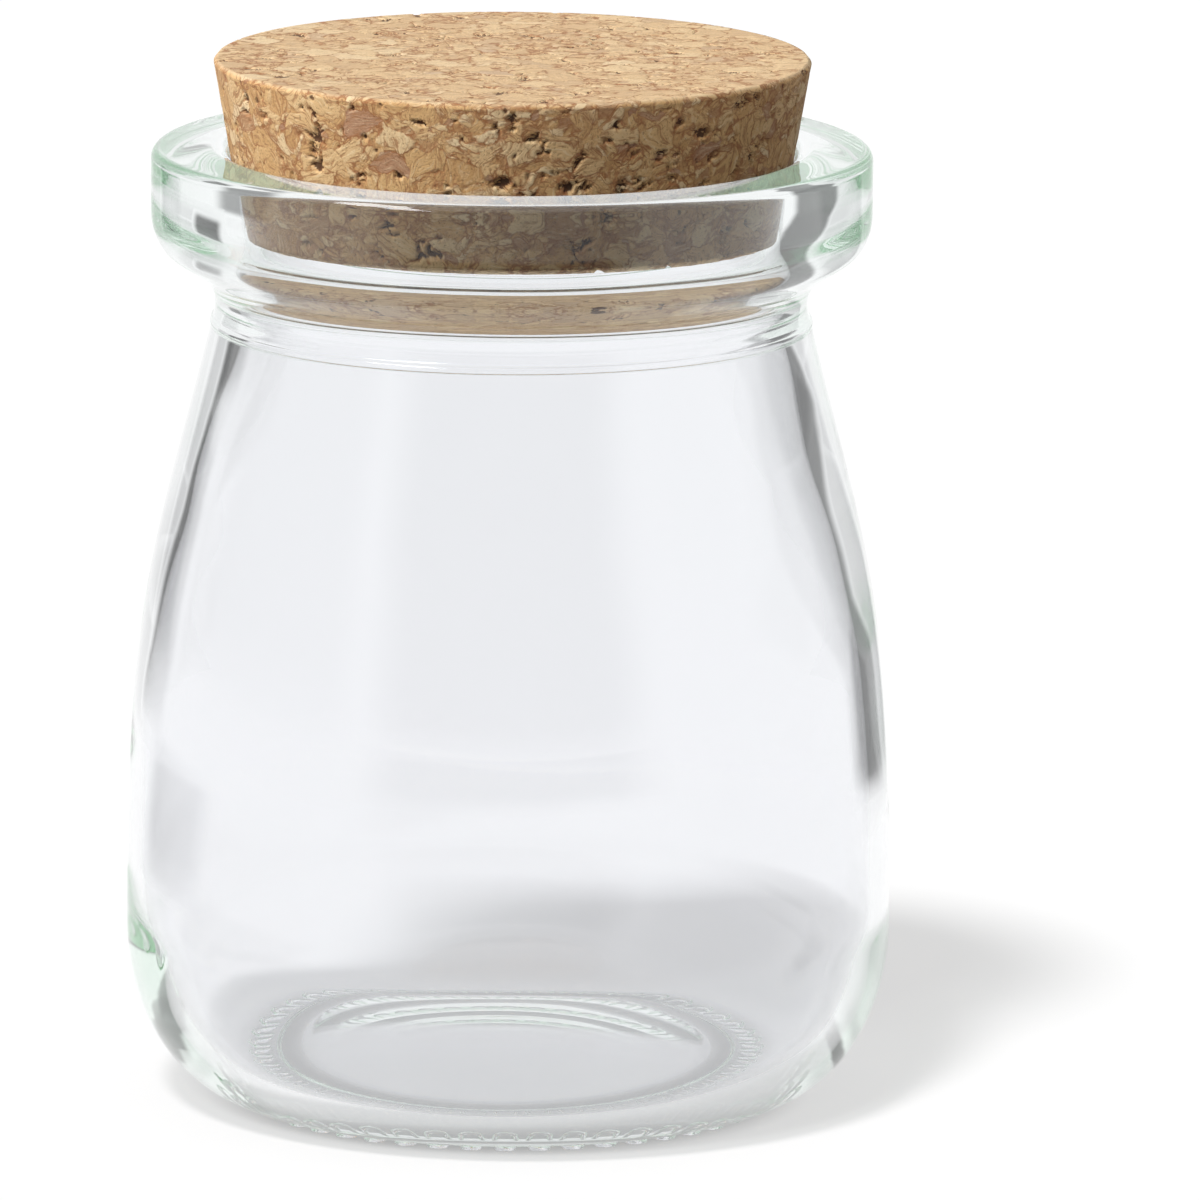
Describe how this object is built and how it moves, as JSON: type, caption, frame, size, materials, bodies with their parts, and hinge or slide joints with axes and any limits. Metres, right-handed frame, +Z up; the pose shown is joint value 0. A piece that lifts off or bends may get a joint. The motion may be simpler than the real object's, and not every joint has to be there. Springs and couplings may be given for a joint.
{
  "type": "glass jar with cork lid",
  "caption": "Small clear blown-glass jar with a bellied side, rounded heel and wide flange, closed by a tapered agglomerated cork lid that lifts out.",
  "frame": {"origin": "centre of the jar's foot, on the plane that it stands on", "axes": "+Z up along the jar's axis and the cork's, with X and Y free because both pieces are round"},
  "size_m": [0.056, 0.056, 0.0771],
  "materials": {
    "clear_glass": "polished",
    "cork": "raw agglomerated cork"
  },
  "bodies": {
    "jar": {"jar": "clear_glass"},
    "lid": {"cork_lid": "cork"}
  },
  "joints": [
    {"name": "lid_lift", "type": "slide", "parent": "jar", "child": "lid", "axis": [0, 0, 1], "range_m": [0, 0.06]}
  ]
}
